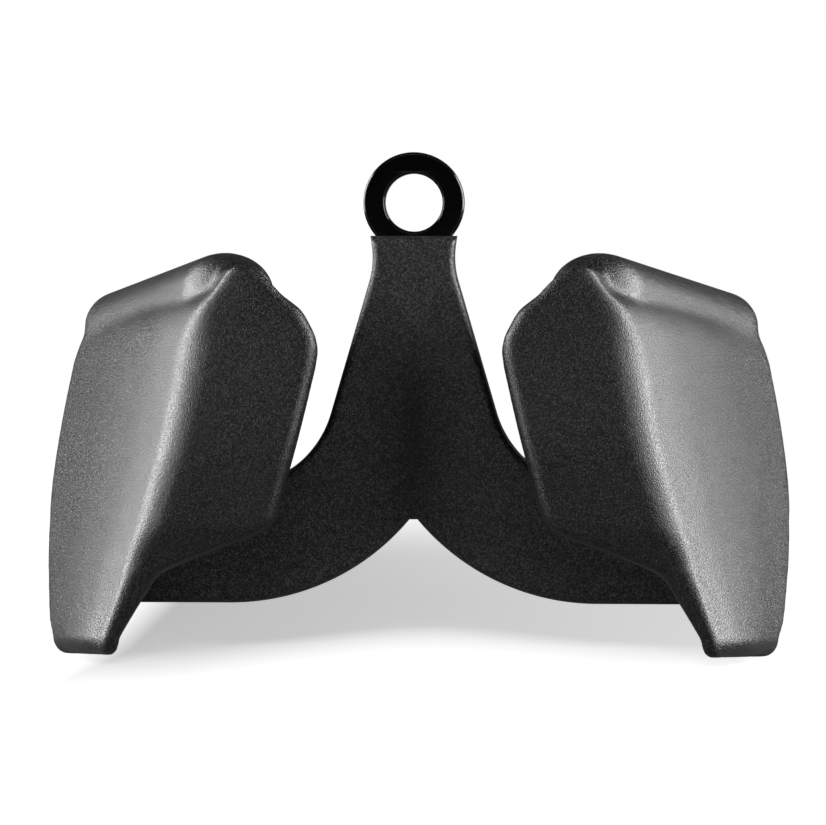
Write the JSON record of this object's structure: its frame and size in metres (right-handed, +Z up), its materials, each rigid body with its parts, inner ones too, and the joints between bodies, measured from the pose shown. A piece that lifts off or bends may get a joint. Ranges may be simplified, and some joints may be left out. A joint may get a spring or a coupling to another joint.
{
  "type": "close grip row handle",
  "caption": "Cable machine row handle with a flat steel eye and neck under a grained cover, and two leaning, splayed palm grips with rolled tops and thumb blocks",
  "frame": {"origin": "centre of the bounding box in X and Y, on the floor under the grips' feet in Z", "axes": "+X to the right as the user sees it, +Y away from the user towards the machine, +Z up from the feet to the eye"},
  "size_m": [0.2648, 0.1144, 0.1756],
  "materials": {
    "gloss_black_painted_steel": "gloss",
    "grained_black_polyurethane": "grained matte",
    "grained_charcoal_polyurethane": "grained matte",
    "bare_mild_steel": "mill",
    "weld_steel": "as welded"
  },
  "bodies": {
    "root": {"eye_plate": "gloss_black_painted_steel", "centre_cover": "grained_black_polyurethane", "left_grip": "grained_charcoal_polyurethane", "left_palm_plate": "bare_mild_steel", "left_lip_tube": "bare_mild_steel", "left_thumb_rib": "bare_mild_steel", "left_near_arm_weld": "weld_steel", "left_far_arm_weld": "weld_steel", "left_lip_weld": "weld_steel", "left_rib_weld": "weld_steel", "right_grip": "grained_charcoal_polyurethane", "right_palm_plate": "bare_mild_steel", "right_lip_tube": "bare_mild_steel", "right_thumb_rib": "bare_mild_steel", "right_near_arm_weld": "weld_steel", "right_far_arm_weld": "weld_steel", "right_lip_weld": "weld_steel", "right_rib_weld": "weld_steel"}
  },
  "joints": []
}
